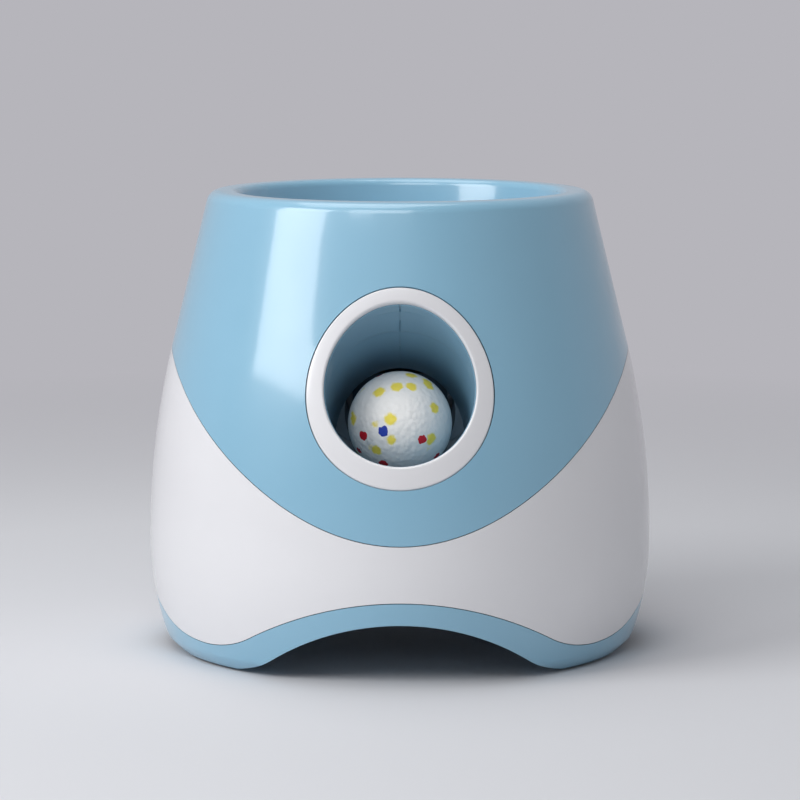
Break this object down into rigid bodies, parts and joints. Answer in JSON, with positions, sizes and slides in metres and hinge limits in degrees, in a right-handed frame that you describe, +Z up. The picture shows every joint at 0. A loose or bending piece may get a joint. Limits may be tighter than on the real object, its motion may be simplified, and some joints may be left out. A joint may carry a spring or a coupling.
{
  "type": "automatic dog ball launcher",
  "caption": "Round two-tone automatic ball launcher with a top hopper, a tilted round launch port, a wave-edged skirt and an arched base, with its spring striker inside.",
  "frame": {"origin": "on the floor under the centre of the round housing", "axes": "+Z up, the launch port faces -Y, +X to the right seen from the front"},
  "size_m": [0.25, 0.25, 0.227],
  "materials": {
    "shell_blue": "gloss moulded",
    "funnel_blue": "satin moulded",
    "shell_white": "gloss moulded",
    "slate_plastic": "fine texture",
    "dark_plastic": "fine texture",
    "smoked_window": "polished",
    "clear_lens": "frosted",
    "nylon": "natural",
    "steel": "zinc plated",
    "brass": "turned",
    "cell_jacket": "printed foil jacket",
    "board": "solder mask",
    "rubber": "matt",
    "bead_foam": "moulded bead foam with flecks"
  },
  "bodies": {
    "root": {"upper_shell": "shell_blue", "hopper_bowl": "shell_blue", "side_skirt": "shell_white", "base_trim": "shell_blue", "base_plate": "slate_plastic", "foot_pads": "rubber", "port_ring": "shell_white", "launch_housing_left": "funnel_blue", "launch_housing_right": "funnel_blue", "housing_screws": "steel", "ball_cradle": "slate_plastic", "sensor_window_left": "smoked_window", "sensor_window_right": "smoked_window", "sensor_boards": "board", "feed_chute": "slate_plastic", "guide_rods": "steel", "firing_springs": "steel", "spring_bracket": "steel", "compound_axle": "steel", "motor": "steel", "motor_screws": "steel", "gearbox_plate_left": "steel", "gearbox_plate_right": "steel", "gearbox_screws": "steel", "chassis": "dark_plastic", "battery_box": "dark_plastic", "batteries": "cell_jacket", "battery_contacts": "steel", "control_board": "board", "tact_switches": "dark_plastic", "buzzer": "dark_plastic", "control_panel": "slate_plastic", "status_light": "clear_lens", "power_socket": "dark_plastic", "base_screws": "steel"},
    "striker": {"striker_rack": "nylon", "striker_head": "slate_plastic", "striker_bumper": "rubber"},
    "sector": {"sector_gear": "nylon", "drive_wheel": "nylon", "sector_shaft": "steel"},
    "compound": {"compound_gear": "nylon"},
    "rotor": {"motor_pinion": "brass"},
    "launch_ball": {"ball": "bead_foam"},
    "power_key": {"power_button": "shell_white"},
    "distance_key": {"distance_button": "shell_white"},
    "bay_door": {"battery_door": "slate_plastic"}
  },
  "joints": [
    {"name": "sector_turn", "type": "hinge", "parent": "root", "child": "sector", "pos_m": [0, 0.044, 0.09595], "axis": [-1, 0, 0], "range_deg": [0, 241.5]},
    {"name": "striker_slide", "type": "slide", "parent": "root", "child": "striker", "axis": [0, 1, 0], "range_m": [0, 0.059], "stiffness_N_per_m": 400, "springref_m": -0.005, "deforming": ["firing_springs"]},
    {"name": "compound_turn", "type": "hinge", "parent": "root", "child": "compound", "pos_m": [0, 0.06355, 0.08884], "axis": [-1, 0, 0], "range_deg": [-805, 0]},
    {"name": "rotor_turn", "type": "hinge", "parent": "root", "child": "rotor", "pos_m": [0, 0.08245, 0.09217], "axis": [-1, 0, 0], "range_deg": [0, 2415]},
    {"name": "ball_launch", "type": "slide", "parent": "root", "child": "launch_ball", "axis": [0, -0.866, 0.5], "range_m": [0, 0.12]},
    {"name": "power_press", "type": "slide", "parent": "root", "child": "power_key", "axis": [0, -1, 0], "range_m": [0, 0.0015], "stiffness_N_per_m": 600, "springref_m": -0.001},
    {"name": "distance_press", "type": "slide", "parent": "root", "child": "distance_key", "axis": [0, -1, 0], "range_m": [0, 0.0015], "stiffness_N_per_m": 600, "springref_m": -0.001},
    {"name": "door_pull", "type": "slide", "parent": "root", "child": "bay_door", "axis": [0, 0, -1], "range_m": [0, 0.028]}
  ],
  "couplings": [
    {"joint": "sector_turn", "follows": "striker_slide", "rad_per_m": 71.429},
    {"joint": "compound_turn", "follows": "striker_slide", "rad_per_m": -238.1},
    {"joint": "rotor_turn", "follows": "striker_slide", "rad_per_m": 714.29}
  ]
}
